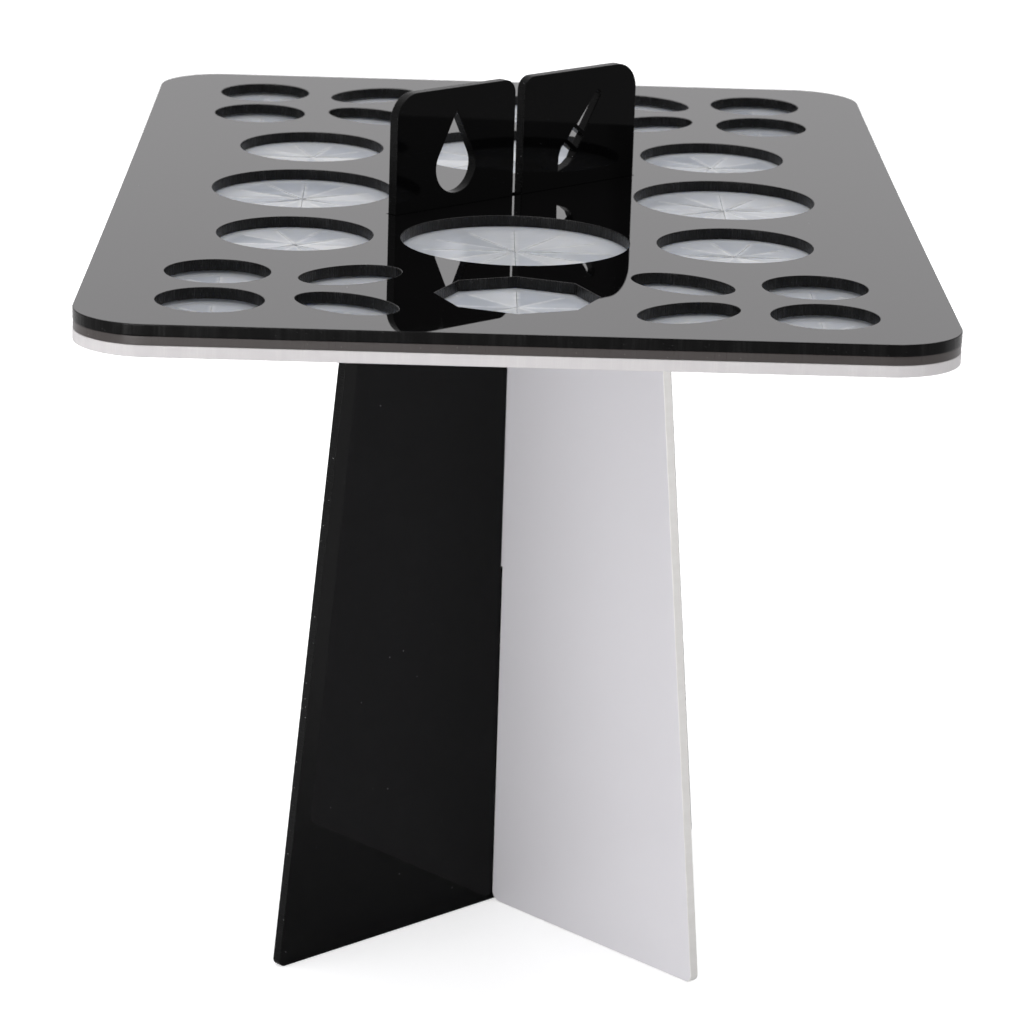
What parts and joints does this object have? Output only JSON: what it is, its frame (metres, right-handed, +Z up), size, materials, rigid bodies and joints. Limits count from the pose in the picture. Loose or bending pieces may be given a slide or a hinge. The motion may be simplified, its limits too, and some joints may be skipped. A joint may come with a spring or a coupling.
{
  "type": "brush drying rack",
  "caption": "Knock-down stand of two crossed half-lapped leg panels carrying a layered tray whose slit membrane grips brushes in round, oval and eight-sided holes.",
  "frame": {"origin": "on the floor, under the crossing of the two leg panels", "axes": "+Z up, +X along the tray's width to the right, +Y along the tray's depth to the back"},
  "size_m": [0.135, 0.2044, 0.1506],
  "materials": {
    "gloss_black": "mirror-polished black cast acrylic with laser-cut edges",
    "clear_silicone": "translucent soft silicone sheet with star cuts",
    "gloss_white": "polished white cast acrylic with laser-cut edges",
    "gloss_black_leg": "polished black cast acrylic with laser-cut edges",
    "gloss_white_leg": "polished white cast acrylic with laser-cut edges"
  },
  "bodies": {
    "black_leg": {"black_panel": "gloss_black_leg"},
    "white_leg": {"white_panel": "gloss_white_leg"},
    "tray": {"top_plate": "gloss_black", "membrane": "clear_silicone", "bottom_plate": "gloss_white"}
  },
  "joints": [
    {"name": "white_leg_lift", "type": "slide", "parent": "black_leg", "child": "white_leg", "axis": [0, 0, 1], "range_m": [0, 0.154]},
    {"name": "tray_lift", "type": "slide", "parent": "white_leg", "child": "tray", "axis": [0, 0, 1], "range_m": [0, 0.028]}
  ]
}
